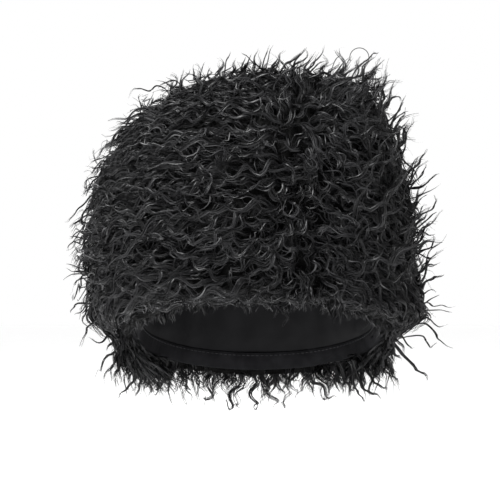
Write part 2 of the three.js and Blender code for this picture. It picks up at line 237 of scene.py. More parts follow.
# Locks that stand out by themselves, in millimetres: each lies at y, has so many pairs of strands, and its
# route goes from the fur to its tip through places of x and z.
Lock = namedtuple("Lock", "y pairs width route")
STANDING_LOCKS = (
    # the curl and the hooks of the upper left
    Lock(-22, 7, 3, ((-71, 162), (-78, 164), (-84, 160), (-91, 162), (-96, 161), (-100, 154))),
    Lock(6, 3, 2, ((-62, 170), (-70, 171), (-76, 167), (-80, 162))),
    Lock(-12, 6, 2, ((-87, 145), (-90, 150), (-92, 155), (-90, 159))),
    Lock(18, 3, 2, ((-89, 143), (-94, 141), (-100, 142), (-106, 145))),
    Lock(-4, 3, 2, ((-98, 136), (-104, 137), (-111, 139))),
    Lock(12, 3, 2, ((-101, 132), (-107, 133), (-110, 130), (-110, 127))),
    Lock(-17, 3, 2, ((-116, 106), (-121, 107), (-125, 101), (-128, 102), (-133, 102))),
    Lock(2, 4, 2, ((-123, 96), (-131, 95), (-134, 90), (-133, 85), (-136, 82))),
    Lock(-22, 3, 1, ((-124, 93), (-128, 88), (-132, 85), (-133, 88))),
    Lock(6, 4, 3, ((-129, 82), (-137, 74), (-142, 69), (-146, 63), (-150, 60))),
    Lock(-12, 3, 2, ((-131, 65), (-139, 60), (-146, 53))),
    Lock(18, 3, 2, ((-134, 60), (-140, 62), (-145, 60))),
    Lock(-4, 5, 2, ((-134, 47), (-140, 49), (-145, 49))),
    Lock(12, 3, 2, ((-134, 52), (-139, 53), (-142, 56), (-146, 51))),
    Lock(-17, 3, 2, ((-135, 42), (-141, 45), (-145, 41), (-146, 36))),
    # the fan and the hooks of the lower left
    Lock(-2, 3, 2, ((-136, 24), (-143, 27), (-149, 28))),
    Lock(-4, 4, 3, ((-136, 22), (-143, 22), (-149, 25))),
    Lock(-4, 3, 2, ((-136, 20), (-144, 20), (-151, 15))),
    Lock(0, 4, 2, ((-134, 17), (-140, 15), (-143, 10))),
    Lock(4, 4, 2, ((-131, 11), (-138, 9), (-139, 4))),
    Lock(-2, 4, 3, ((-133, -3), (-140, -3), (-143, -6), (-145, -10))),
    Lock(0, 3, 2, ((-132, -5), (-134, -9), (-138, -12))),
    Lock(4, 8, 5, ((-119, -9), (-126, -16), (-132, -21), (-134, -28), (-138, -38))),
    Lock(8, 6, 4, ((-115, -21), (-117, -28), (-122, -33), (-127, -32), (-132, -28))),
    Lock(12, 4, 2, ((-112, -25), (-114, -31), (-111, -34))),
    # the ends that hang from the hem at the lower left
    Lock(44, 5, 3, ((-104, -46), (-110, -50), (-112, -56), (-110, -63))),
    Lock(48, 9, 5, ((-96, -50), (-98, -62), (-104, -70), (-109, -74), (-111, -79))),
    Lock(50, 9, 6, ((-92, -50), (-93, -62), (-95, -71), (-98, -78))),
    Lock(54, 7, 5, ((-90, -50), (-90, -64), (-90, -73))),
    Lock(56, 8, 5, ((-87, -50), (-88, -62), (-85, -70), (-87, -77))),
    Lock(60, 9, 4, ((-82, -46), (-80, -60), (-80, -68), (-75, -73))),
    # the long ends at the lower right
    Lock(20, 10, 5, ((99, -27), (107, -35), (120, -49), (126, -56), (131, -58), (134, -65))),
    Lock(50, 10, 5, ((81, -44), (88, -57), (93, -65), (99, -69), (106, -71))),
    Lock(54, 9, 5, ((77, -48), (82, -66), (88, -73), (95, -75), (101, -80))),
    Lock(58, 7, 4, ((75, -50), (78, -69), (82, -76), (86, -82))),
    Lock(62, 9, 5, ((66, -50), (69, -62), (74, -70), (73, -78))),
    Lock(4, 6, 3, ((119, -28), (127, -28), (131, -32), (133, -37), (139, -33))),
    Lock(8, 4, 2, ((112, -28), (117, -36), (122, -36))),
    Lock(-2, 4, 3, ((130, -18), (138, -27), (140, -31), (147, -36), (154, -39))),
    Lock(-4, 6, 3, ((122, -12), (133, -15), (139, -21), (146, -19))),
    Lock(-4, 3, 2, ((132, -8), (142, -8), (149, -10))),
    Lock(-2, 3, 2, ((131, -2), (136, -5), (142, -4), (148, -6), (152, -5))),
    Lock(0, 6, 3, ((126, -4), (133, 0), (136, 2), (141, 4))),
    # the tufts of the right side
    Lock(2, 6, 3, ((120, 1), (128, 4), (134, 8), (139, 5))),
    Lock(-22, 8, 4, ((122, 9), (130, 15), (135, 17), (141, 19))),
    Lock(6, 6, 4, ((126, 21), (131, 26), (136, 27), (142, 29))),
    Lock(-12, 5, 3, ((123, 36), (130, 32), (134, 33), (138, 38))),
    Lock(18, 6, 3, ((122, 38), (130, 39), (136, 42), (138, 48), (136, 52))),
    Lock(-4, 7, 3, ((120, 47), (127, 53), (132, 50), (137, 51))),
    Lock(12, 9, 5, ((119, 60), (128, 67), (136, 71), (139, 77), (138, 83))),
    Lock(-17, 6, 3, ((122, 55), (131, 63), (137, 68))),
    Lock(2, 6, 4, ((123, 80), (131, 84), (136, 86), (142, 91))),
    Lock(-22, 7, 3, ((121, 86), (129, 89), (133, 94), (139, 97))),
    Lock(6, 6, 3, ((119, 90), (127, 97), (130, 103), (131, 110))),
    Lock(-12, 9, 5, ((114, 98), (123, 104), (126, 110), (131, 117))),
    Lock(18, 8, 4, ((111, 120), (117, 128), (115, 134), (119, 141))),
    Lock(-4, 6, 4, ((98, 132), (106, 140), (112, 145), (116, 146))),
    Lock(12, 6, 3, ((103, 141), (110, 148), (112, 152), (114, 159))),
    Lock(-17, 5, 3, ((96, 147), (103, 155), (108, 156), (110, 151))),
    Lock(2, 5, 3, ((91, 155), (98, 158), (104, 163))),
    Lock(-22, 6, 3, ((87, 158), (93, 165), (91, 171))),
    # the ends and loops over the crown
    Lock(6, 5, 3, ((82, 169), (88, 178), (92, 180), (97, 179))),
    Lock(-12, 5, 3, ((75, 177), (85, 186), (89, 190), (94, 191))),
    Lock(18, 5, 3, ((57, 170), (61, 178), (66, 182), (73, 180))),
    Lock(-4, 2, 1, ((57, 178), (60, 186), (64, 190), (63, 194), (69, 195))),
    Lock(12, 10, 6, ((37, 170), (41, 178), (46, 184), (54, 188))),
    Lock(-17, 10, 6, ((17, 174), (22, 182), (30, 186), (38, 194))),
    Lock(2, 4, 2, ((6, 178), (8, 187), (9, 193), (12, 199))),
    Lock(-22, 4, 2, ((3, 178), (6, 187), (9, 195))),
    Lock(6, 3, 2, ((-2, 178), (-4, 186), (-8, 190), (-15, 195))),
    Lock(-12, 4, 2, ((-3, 178), (-3, 187), (1, 194))),
    Lock(18, 5, 3, ((-13, 176), (-12, 186), (-9, 191))),
    Lock(-4, 5, 3, ((-26, 172), (-25, 184), (-21, 192))),
    Lock(12, 4, 3, ((-36, 169), (-39, 177), (-37, 183))),
    Lock(-17, 4, 3, ((-47, 168), (-50, 176), (-49, 180))),
    # the tufts below the front rim
    Lock(-126, 7, 3, ((-6, 4), (-9, -4), (-11, -11))),
    Lock(-126, 8, 3, ((14, 4), (12, -6), (20, -12), (18, -21))),
    Lock(-124, 6, 3, ((24, 4), (20, -4), (13, -9), (12, -15))),
    Lock(-120, 14, 9, ((57, 4), (59, -8), (57, -20))),
)

# What the standing locks share, in metres
STANDING_ROOT = 0.01
STANDING_KNOTS = 15
STANDING_WAVE = 0.0008
STANDING_WAVELENGTH = 0.012
STANDING_RADIUS = 0.00042
STANDING_TONE = 0.35
STANDING_LOOSE = 0.7

# Single hairs that curl into a ring, in millimetres, with the degrees where each starts and ends
RING_HAIRS = (
    {"x": 79, "y": -2, "z": 189, "radius": 7.4, "start": -120, "end": 200},
    {"x": -118, "y": -4, "z": 120, "radius": 3.6, "start": 10, "end": 330},
    {"x": -131, "y": 0, "z": 90, "radius": 4.2, "start": 60, "end": 330},
)

# What the ring hairs share, in metres
RING_KNOTS = 24
RING_PITCH = 0.1
RING_HAIR_RADIUS = 0.0003
RING_TONE = 0.3

# Floor, lights and camera, with the lens and the sensor in millimetres
FLOOR_Z = -0.26
FLOOR_REACH = 60
LIGHTS = (
    {"name": "key", "place": (-0.9, -0.95, 2.2), "size": 0.7, "energy": 460},
    {"name": "fill", "place": (1.5, -1.3, 0.6), "size": 1.2, "energy": 14},
)
LIGHT_TARGET = (0, 0, 0.05)
CAMERA_TARGET = (-0.0062, 0, 0.0388)
CAMERA_ELEVATION = math.radians(-2)
CAMERA_DISTANCE = 1.5
LENS = 139
SENSOR_WIDTH = 36


def smoothstep(value, low, high):
    share = np.clip((value - low) / (high - low), 0, 1)
    return share * share * (3 - 2 * share)


def unit(vectors):
    return vectors / np.maximum(np.linalg.norm(vectors, axis=-1, keepdims=True), 1e-9)


# The form of the hat

def nape_share(turn):
    """0 at the brow and 1 at the nape."""
    return (1 - np.cos(turn)) / 2


def hang_share(turn):
    """The share that is left of what hangs below the rim: little at the brow, and all of it at the nape."""
    return FRONT_HANG + (1 - FRONT_HANG) * nape_share(turn)


def flare_at(turn, height):
    """How much further out the hat lies near its rim, from nothing at the brow to the most at the nape."""
    return FLARE * np.abs(np.sin(turn / 2)) * np.maximum(0, 1 - height / FLARE_REACH) ** 2


def drop_at(turn, height):
    """How far the rim, and less so what lies above it, drops towards the nape."""
    return RIM_DROP * nape_share(turn) * np.maximum(0, 1 - height / RIM_DROP_REACH) ** 1.5


def lean_at(height):
    """How far the crown leans to the right at a height."""
    return CROWN_LEAN * (height / FUR_HEIGHT) ** LEAN_POWER


def to_hat(turn, radius, z):
    """Place on the hat of a point of the round form: its turn from the brow, its radius and its height."""
    height = np.maximum(z, 0)
    wide = radius + flare_at(turn, height)
    stretch = np.where(np.cos(turn) > 0, HALF_FRONT, HALF_BACK) / HALF_WIDTH
    x = wide * np.sin(turn) + lean_at(height)
    y = -wide * np.cos(turn) * stretch
    below = np.minimum(z, 0) * hang_share(turn)
    return np.stack([x, y, height + below - drop_at(turn, height)], -1)


def tuck_share(turn, z):
    """The share of its depth that the fur loses low at the nape."""
    most = TUCK_LEFT + (TUCK_RIGHT - TUCK_LEFT) * (1 + np.sin(turn)) / 2
    return most * smoothstep(-z, TUCK_START, TUCK_END)


def fur_to_hat(turn, radius, z):
    """The same as to_hat for a place in the fur, which is tucked in low at the nape."""
    points = to_hat(turn, radius, z)
    closer = tuck_share(turn, points[..., 2]) * np.maximum(0, radius - HALF_WIDTH - CLEAR)
    points[..., 0] -= closer * np.sin(turn)
    points[..., 1] += closer * np.cos(turn)
    return points


def from_hat(x, y, z, rounds=8, pace=0.6):
    """Turn, radius and height in the round form of a place on the hat, found in a few rounds."""
    ahead = -y * HALF_WIDTH / np.where(y < 0, HALF_FRONT, HALF_BACK)
    low = z.copy()
    for _ in range(rounds):
        height = np.maximum(low, 0)
        across = x - lean_at(height)
        turn = np.arctan2(across, ahead)
        under = z + drop_at(turn, 0)
        hanging = under / hang_share(turn)
        low = np.where(under < 0, hanging, low + pace * (z + drop_at(turn, height) - low))
    return turn, np.hypot(across, ahead) - flare_at(turn, np.maximum(low, 0)), low


def dome(depth, climb):
    """Radius and height of the round form at a depth outside the hide; climb is 0 at the rim and 1 on top."""
    angle = np.clip(climb, 0, 1) * math.pi / 2
    power = 2 / DOME_POWER
    return (HALF_WIDTH + depth) * np.cos(angle) ** power, (HIDE_HEIGHT + depth) * np.sin(angle) ** power


def dome_level(radius, z, depth=0.0):
    """Less than 1 inside the dome that lies at a depth outside the hide, and more outside it."""
    wide = radius / (HALF_WIDTH + depth)
    tall = np.maximum(z, 0) / (HIDE_HEIGHT + depth)
    return wide**DOME_POWER + tall**DOME_POWER


def side_bulge(turn, height, depth):
    """How much further the fur stands out on the left."""
    outside = np.clip(depth / PILE_DEPTH, 0, MOST_BULGE)
    return SIDE_BULGE * np.clip(height / BULGE_START, 0, 1) * outside * np.maximum(0, -np.sin(turn))


def depth_of(points, rounds=4, limits=(-0.05, 0.2)):
    """How far a place lies outside the hide, found in a few rounds."""
    x, y, z = np.moveaxis(points, -1, 0)
    shift = 0.0
    for _ in range(2):
        turn, radius, height = from_hat(x + shift, y, z)
        depth = np.full_like(x, ROOT_DEPTH)
        high = np.maximum(height, 0)
        for _ in range(rounds):
            wide = (np.maximum(radius, 0) / (HALF_WIDTH + depth)) ** DOME_POWER
            tall = (high / (HIDE_HEIGHT + depth)) ** DOME_POWER
            slope = DOME_POWER * (wide / (HALF_WIDTH + depth) + tall / (HIDE_HEIGHT + depth))
            depth = np.clip(depth + (wide + tall - 1) / np.maximum(slope, 1e-6), *limits)
        shift = side_bulge(turn, height, depth)
    return depth


def outward(points, step=0.001):
    """Unit vectors away from the crown."""
    slopes = []
    for axis in np.eye(3):
        slopes.append(depth_of(points + step * axis) - depth_of(points - step * axis))
    return unit(np.stack(slopes, -1))


def flow_at(points, normals):
    """The way that the fur lies: out from the parting on either side, and down at the nape and the rim."""
    right = smoothstep(points[:, 0], PARTING_X - PARTING_BLEND, PARTING_X + PARTING_BLEND)[:, None]
    nape = smoothstep(points[:, 1], *NAPE_FLOW_Y)[:, None]
    low = (1 - smoothstep(points[:, 2], *RIM_FLOW_Z)) * smoothstep(np.abs(points[:, 0]), *SIDE_FLOW_X)
    flow = np.array(FLOW_LEFT) * (1 - right) + np.array(FLOW_RIGHT) * right
    down = np.tile(FLOW_DOWN, (len(points), 1))
    down[:, 0] *= np.sign(points[:, 0])
    flow = flow * (1 - nape) + down * nape
    flow[:, 2] -= RIM_PULL * low
    return along_surface(flow, normals)


def along_surface(vectors, normals):
    return unit(vectors - normals * np.sum(vectors * normals, -1, keepdims=True))


# Objects, and walls turned round the crown

def new_object(name, data):
    thing = bpy.data.objects.new(name, data)
    bpy.context.scene.collection.objects.link(thing)
    return thing


def new_mesh(name, verts, faces, smooth=True):
    mesh = bpy.data.meshes.new(name)
    mesh.from_pydata(verts, [], faces)
    mesh.polygons.foreach_set("use_smooth", [smooth] * len(mesh.polygons))
    mesh.update()
    return new_object(name, mesh)


def lathed(name, profile, shape=to_hat, around=AROUND, closed=False):
    """Turns a profile of radius and height round the crown; closed joins its last row to its first."""
    turns = np.linspace(0, 2 * math.pi, around, endpoint=False)
    turn, row = np.meshgrid(turns, np.arange(len(profile)), indexing="ij")
    verts = shape(turn, profile[row, 0], profile[row, 1]).reshape(-1, 3)
    rows = len(profile)
    faces = []
    for i in range(around):
        here, there = i * rows, (i + 1) % around * rows
        for j in range(rows if closed else rows - 1):
            above = (j + 1) % rows
            faces.append((here + j, here + above, there + above, there + j))
    piece = new_mesh(name, verts.tolist(), faces)
    mesh = bmesh.new()
    mesh.from_mesh(piece.data)
    bmesh.ops.remove_doubles(mesh, verts=mesh.verts, dist=1e-6)
    bmesh.ops.recalc_face_normals(mesh, faces=mesh.faces)
    mesh.to_mesh(piece.data)
    mesh.free()
    return piece


def dome_profile(depth, start=0.0, rows=DOME_ROWS):
    """A dome's profile from the rim up to the axis."""
    radius, height = dome(depth, np.linspace(start, 1, rows))
    radius[-1] = 0
    return np.stack([radius, height], -1)


def hide():
    """The leather wall that carries the fur."""
    inside = dome_profile(-HIDE_WALL, rows=HIDDEN_ROWS)
    outside = dome_profile(0.0, rows=HIDDEN_ROWS)
    return lathed("crown_hide", np.concatenate([inside[::-1], outside]), around=HIDDEN_AROUND)


def satin_lining():
    """A lining of gores that puff a little between their seams and gather by the binding."""
    outside = -HIDE_WALL - GAP
    inside = outside - LINING_WALL

    def shape(turn, radius, z):
        near_axis = np.clip(3 * radius / (HALF_WIDTH + outside), 0, 1)
        above = np.maximum(z - BINDING_HEIGHT, 0)
        fade = np.clip(above / GATHER_START, 0, 1)
        puff = GORE_PUFF * np.abs(np.sin(GORES / 2 * turn)) ** 0.6 * fade * near_axis
        uneven = GATHERS * turn + 1.3 * np.sin(5 * turn)
        gather = GATHER_DEPTH * (1 + np.sin(uneven)) * fade * np.exp(-above / GATHER_REACH)
        inner = dome_level(radius, z, (inside + outside) / 2) < 1
        return to_hat(turn, np.maximum(radius - (puff + gather) * inner, 0), z)

    profile = np.concatenate([dome_profile(inside)[::-1], dome_profile(outside, rows=HIDDEN_ROWS)])
    return lathed("satin_lining", profile, shape)


def binding():
    """The folded strip round the hem, with soft edges."""
    outer = HALF_WIDTH + GAP
    inner = HALF_WIDTH - HIDE_WALL - GAP - LINING_WALL - GAP
    wall = BINDING_WALL
    bottom = -GAP - wall
    profile = np.array([
        [inner, BINDING_HEIGHT - BINDING_EDGE],
        [inner - 0.4 * wall, BINDING_HEIGHT],
        [inner - wall, BINDING_HEIGHT - 2 * BINDING_EDGE],
        [inner - 1.25 * wall, 0.5 * BINDING_HEIGHT],
        [inner - wall, 0.0],
        [inner - 0.6 * wall, 0.7 * bottom],
        [0.5 * (inner + outer), bottom],
        [outer + 0.6 * wall, 0.7 * bottom],
        [outer + wall, 0.0],
        [outer + wall, BINDING_HEIGHT - BINDING_EDGE],
        [outer, BINDING_HEIGHT],
        [outer, -GAP],
        [inner, -GAP],
    ])

    def shape(turn, radius, z):
        pucker = PUCKER_DEPTH * np.sin(PUCKERS * turn) * (z > 0)
        return to_hat(turn, radius + pucker * (radius < HALF_WIDTH - HIDE_WALL), z)

    return lathed("binding_strip", profile, shape, closed=True)


def hem_stitches():
    """Short stitches along the inner edge of the binding."""
    turn = np.linspace(0, 2 * math.pi, STITCHES, endpoint=False)
    radius = HALF_WIDTH - HIDE_WALL - LINING_WALL - 2 * GAP - 1.25 * BINDING_WALL
    share = np.linspace(-STITCH_HALF, STITCH_HALF, STITCH_KNOTS)[None, :]
    along = turn[:, None] + share * 2 * math.pi / STITCHES
    rise = STITCH_RISE * np.cos(share / STITCH_HALF * math.pi / 2)
    paths = to_hat(along, np.full_like(along, radius) - rise, np.full_like(along, 0.8 * BINDING_HEIGHT))
    radii = np.full(paths.shape[:2], STITCH_RADIUS)
    return strand_piece("hem_stitches", [(paths, radii, np.full(STITCHES, STITCH_TONE))], THREAD_SIDES)


def undercoat():
    """The dense pile below the locks: a closed, lumpy shell over the hide."""
    rng = np.random.default_rng(LUMP_SEED)
    clear = HALF_WIDTH + CLEAR
    outside = dome_profile(UNDERCOAT_DEPTH, start=0.04)[::-1]
    edge = [(HALF_WIDTH + share * UNDERCOAT_DEPTH, rise * PILE_HANG) for share, rise in UNDERCOAT_EDGE]
    inside = [(clear, -0.2 * PILE_HANG), (clear, 0.3 * BINDING_HEIGHT), (clear, BINDING_HEIGHT + GAP)]
    under = dome_profile(GAP, start=0.1, rows=HIDDEN_ROWS)
    profile = np.concatenate([outside, edge, inside, under])
    waves = unit(rng.normal(0, 1, (LUMPS, 3))) * rng.uniform(*LUMP_WAVES, LUMPS)[:, None]
    phases = rng.uniform(0, 2 * math.pi, LUMPS)

    def shape(turn, radius, z):
        outer = smoothstep(dome_level(radius, z) - 1, *LUMPS_GROW)
        points = fur_to_hat(turn, radius, z)
        points[..., 0] -= side_bulge(turn, z, UNDERCOAT_DEPTH * outer)
        lumps = 0.0
        for wave, phase in zip(waves, phases):
            lumps = lumps + LUMP_HEIGHT * np.sin(points @ wave + phase)
        away = unit(points - np.array(LUMP_MIDDLE))
        return points + away * (lumps * outer)[..., None]

    return lathed("undercoat", profile, shape)


# Strands

def strand_arrays(paths, radii, sides):
    """Corners, quads and end triangles of strands along paths: flat ones, or closed tubes of three sides."""
    strands, knots, _ = paths.shape
    rolls = np.random.default_rng(ROLL_SEED).normal(0, 1, (strands, 3))
    tangents = unit(np.gradient(paths, axis=1))
    side = unit(np.cross(tangents[:, 0], rolls))
    rings = np.empty((strands, knots, sides, 3))
    for knot in range(knots):
        tangent = tangents[:, knot]
        side = unit(side - tangent * np.sum(side * tangent, -1, keepdims=True))
        up = np.cross(tangent, side)
        for corner in range(sides):
            angle = 2 * math.pi * corner / sides
            spoke = math.cos(angle) * side + math.sin(angle) * up
            rings[:, knot, corner] = paths[:, knot] + radii[:, knot, None] * spoke
    first = (np.arange(strands) * knots * sides)[:, None, None]
    ring = (np.arange(knots - 1) * sides)[None, :, None]
    here = np.arange(faces_round(sides))[None, None, :]
    there = (here + 1) % sides
    low, high = first + ring, first + ring + sides
    quads = np.stack([low + here, low + there, high + there, high + here], -1).reshape(-1, 4)
    if sides == FLAT_SIDES:
        return rings.reshape(-1, 3), quads, np.empty((0, 3), int)
    start = first[:, 0] + np.array([[2, 1, 0]])
    end = first[:, 0] + (knots - 1) * sides + np.array([[0, 1, 2]])
    return rings.reshape(-1, 3), quads, np.concatenate([start, end])


def faces_round(sides):
    return 1 if sides == FLAT_SIDES else sides


def strand_map(strands, knots, offset, cells, sides, edge=0.1):
    """Map places of the strands' corners: a cell with an edge for each strand, with its length along v."""
    cell = offset + np.arange(strands)
    corner = np.stack([cell % cells, cell // cells], -1)[:, None, None, None, :]
    across = faces_round(sides)
    side = np.arange(across)[None, None, :, None] + np.array([0, 1, 1, 0])
    knot = np.arange(knots - 1)[None, :, None, None] + np.array([0, 0, 1, 1])
    shape = (strands, knots - 1, across, 4)
    u = np.broadcast_to(edge + (1 - 2 * edge) * side / across, shape)
    v = np.broadcast_to(edge + (1 - 2 * edge) * knot / (knots - 1), shape)
    body = (corner + np.stack([u, v], -1)) / cells
    if sides == FLAT_SIDES:
        return body.reshape(-1, 2), np.empty((0, 2))
    end = np.array([[0.3, 0], [0.6, 0], [0.45, 0.03]])
    ends = []
    for height in (0.04, 0.94):
        ends.append((corner[:, 0, 0] + (end + np.array([0, height]))) / cells)
    return body.reshape(-1, 2), np.concatenate(ends).reshape(-1, 2)


def strand_piece(name, batches, sides=FLAT_SIDES):
    """One mesh of all the strands in batches of paths, radii and tones."""
    cells = math.ceil(math.sqrt(sum(len(paths) for paths, _, _ in batches)))
    verts, corners, sizes, places, tones = [], [], [], [], []
    base, offset = 0, 0
    for paths, radii, tone in batches:
        points, quads, caps = strand_arrays(paths, radii, sides)
        body, ends = strand_map(len(paths), paths.shape[1], offset, cells, sides)
        verts.append(points)
        corners += [quads.ravel() + base, caps.ravel() + base]
        sizes += [np.full(len(quads), 4), np.full(len(caps), 3)]
        places += [body, ends]
        tones.append(np.repeat(tone, paths.shape[1] * sides))
        base += len(points)
        offset += len(paths)
    verts, corners, sizes = np.concatenate(verts), np.concatenate(corners), np.concatenate(sizes)
    mesh = bpy.data.meshes.new(name)
    mesh.vertices.add(len(verts))
    mesh.vertices.foreach_set("co", verts.ravel().astype(np.float32))
    mesh.loops.add(len(corners))
    mesh.loops.foreach_set("vertex_index", corners.astype(np.int32))
    mesh.polygons.add(len(sizes))
    starts = np.concatenate([[0], np.cumsum(sizes)[:-1]])
    mesh.polygons.foreach_set("loop_start", starts.astype(np.int32))
    mesh.polygons.foreach_set("use_smooth", np.ones(len(sizes), bool))
    layer = mesh.uv_layers.new(name="OFBake")
    layer.data.foreach_set("uv", np.concatenate(places).ravel().astype(np.float32))
    tone_layer = mesh.attributes.new("tone", "FLOAT", "POINT")
    tone_layer.data.foreach_set("value", np.concatenate(tones).astype(np.float32))
    mesh.update(calc_edges=True)
    mesh.validate()
    return new_object(name, mesh)


# Locks of fur

# The zones where the roots of a layer lie, in metres
ZONES = {
    "all": lambda p: p[:, 2] > -1,
    "parting": lambda p: (np.abs(p[:, 0] - PARTING_X) < 0.02) & (p[:, 1] < 0.05),
    "left": lambda p: (p[:, 0] < -0.06) & (p[:, 2] > -0.01),
    "right": lambda p: (p[:, 0] > 0.05) & (p[:, 2] > 0.0),
    "top": lambda p: (p[:, 2] > 0.135) & (p[:, 0] > -0.06),
}


def even_roots(count, rng, zone):
    """Roots spread evenly over the hide: the farthest of a pool of random places, one after the other."""
    pool = count * (POOL if zone == "all" else ZONE_POOL)
    turn = rng.uniform(-math.pi, math.pi, pool)
    climb = rng.uniform(0, TOP_CLIMB, pool)
    radius, height = dome(ROOT_DEPTH, climb)
    points = fur_to_hat(turn, radius, height)
    chance = radius / radius.max() + TOP_CHANCE
    points = points[(rng.uniform(0, 1, pool) < chance) & ZONES[zone](points)]
    chosen = [0]
    nearest = np.linalg.norm(points - points[0], axis=1)
    for _ in range(count - 1):
        chosen.append(int(np.argmax(nearest)))
        nearest = np.minimum(nearest, np.linalg.norm(points - points[chosen[-1]], axis=1))
    return points[chosen]


def grow_axes(roots, length, depth, lift, veer, bend, aim):
    """Walks each lock over the crown from its root, and gives its points and the way out of the fur."""
    here = roots.copy()
    points = [here]
    normals = [outward(here)]
    step = (length / (AXIS_STEPS - 1))[:, None]
    for knot in range(1, AXIS_STEPS):
        share = knot / (AXIS_STEPS - 1)
        normal = normals[-1]
        flow = flow_at(here, normal) if aim is None else along_surface(np.array(aim), normal)
        side = np.cross(normal, flow)
        turn = (veer + bend * (share - STRAIGHT_AT))[:, None]
        here = here + step * (np.cos(turn) * flow + np.sin(turn) * side)
        around, _, low = from_hat(*here.T)
        nape = nape_share(around)
        hang = BROW_HANG + MORE_NAPE_HANG * smoothstep(nape, *HANG_GROWS)
        here[:, 2] += np.maximum(0, -hang - low) * hang_share(around)
        tuck = 1 - RIM_TUCK * smoothstep(-low, *RIM_TUCK_Z) * smoothstep(nape, *TUCK_GROWS)
        tuck *= 1 - tuck_share(around, here[:, 2])
        target = ROOT_DEPTH + (depth - ROOT_DEPTH) * smoothstep(share, 0, RISE_END) + lift * share**2
        here = here + normal * (target * tuck - depth_of(here))[:, None]
        points.append(here)
        normals.append(outward(here))
    return np.stack(points, 1), np.stack(normals, 1)


def smooth_route(points, steps):
    """Places along a smooth curve through points."""
    ends = np.stack([2 * points[0] - points[1], 2 * points[-1] - points[-2]])
    padded = np.concatenate([ends[:1], points, ends[1:]])
    place = np.linspace(0, len(points) - 1, steps)
    low = np.minimum(place.astype(int), len(points) - 2)
    part = (place - low)[:, None]
    a, b, c, d = padded[low], padded[low + 1], padded[low + 2], padded[low + 3]
    bend = (2 * a - 5 * b + 4 * c - d) * part**2 + (3 * b - a - 3 * c + d) * part**3
    return 0.5 * (2 * b + (c - a) * part + bend)


def straight_axes(roots, tips, sag):
    """Axes from roots to tips that bow by sag, with the way out of the fur."""
    share = np.linspace(0, 1, AXIS_STEPS)[None, :, None]
    axes = roots[:, None] * (1 - share) + tips[:, None] * share
    bow = np.sin(share * math.pi) * sag[:, None, None]
    normals = np.repeat(outward(roots)[:, None], AXIS_STEPS, axis=1)
    return axes + normals * bow, normals


def curled_strands(axes, normals, length, curl, count, knots, rng):
    """Strands of each lock: they start apart, draw together to the tip and share its waves and rings."""
    own = np.repeat(np.arange(len(axes)), count)
    total = len(own)
    tangents = unit(np.gradient(axes, axis=1))
    sides = unit(np.cross(normals, tangents))
    reach = rng.uniform(*STRAND_REACH, total)
    share = np.linspace(0, 1, knots)[None, :] * reach[:, None]
    place = share * (AXIS_STEPS - 1)
    low = np.minimum(place.astype(int), AXIS_STEPS - 2)
    part = (place - low)[..., None]

    def along(values):
        return values[own[:, None], low] * (1 - part) + values[own[:, None], low + 1] * part

    angle = rng.uniform(0, 2 * math.pi, total)
    width = curl["width"][own] * np.sqrt(rng.uniform(0, 1, total))
    gather = (1 - TIP_GATHER * smoothstep(share, 0.05, 1.0)) * width[:, None]
    loose = curl["loose"]
    phase = curl["phase"][own] + loose * rng.normal(0, PHASE_SPREAD, total)
    turns = curl["turns"][own] * (1 + loose * rng.uniform(-TURNS_SPREAD, TURNS_SPREAD, total))
    tighter = 1 - TIP_TIGHTER + TIP_TIGHTER * share
    cycle = 2 * math.pi * turns[:, None] * share * tighter + phase[:, None]
    swing = curl["wave"][own] * (1 + loose * rng.uniform(*WAVE_SPREAD, total))
    swell = swing[:, None] * smoothstep(share, *WAVE_GROWS)
    frizz = loose * rng.normal(0, FRIZZ, (total, 2))
    across = np.cos(angle)[:, None] * gather + swell * np.sin(cycle) + frizz[:, :1] * share**1.5
    above = LOCK_FLATNESS * np.sin(angle)[:, None] * gather + WAVE_FLATNESS * swell * np.cos(cycle)
    above += np.abs(frizz[:, 1:]) * share**2
    onward = -curl["coil"][own][:, None] * smoothstep(share, *COIL_GROWS) * swell * np.cos(cycle)
    paths = along(axes) + along(sides) * across[..., None] + along(normals) * above[..., None]
    paths += along(tangents) * onward[..., None]
    taper = np.clip((1 - np.linspace(0, 1, knots)) * TAPER, TIP_SHARE, 1) ** 0.7
    radii = curl["radius"] * rng.uniform(*RADIUS_SPREAD, total)[:, None] * taper[None, :]
    tone = np.clip(curl["tone"][own] + rng.normal(0, TONE_SPREAD, total), 0, 1)
    return paths, radii, tone


def grow_layer(layer, rng):
    """A layer of locks over the crown."""
    count = layer["locks"]

    def spread(name, scale=MM):
        return scale * layer[name] * rng.uniform(*LOCK_SPREAD[name], count)

    roots = even_roots(count, rng, layer["where"])
    length = MM * rng.uniform(*layer["length"], count)
    lift = MM * rng.uniform(*layer["lift"], count)
    stray = rng.uniform(0, 1, count) < layer["stray"]
    lift += stray * spread("stray_lift")
    veer = rng.normal(0, layer["veer"], count)
    bend = rng.normal(0, layer["bend"], count)
    depth = spread("depth")
    axes, normals = grow_axes(roots, length, depth, lift, veer, bend, layer["aim"])
    curl = {
        "width": spread("width"),
        "wave": spread("wave"),
        "turns": length / spread("wavelength"),
        "coil": spread("coil", 1),
        "phase": rng.uniform(0, 2 * math.pi, count),
        "tone": rng.uniform(*LOCK_TONES, count),
        "radius": MM * layer["radius"],
        "loose": layer["loose"],
    }
    return curled_strands(axes, normals, length, curl, layer["strands"], layer["knots"], rng)


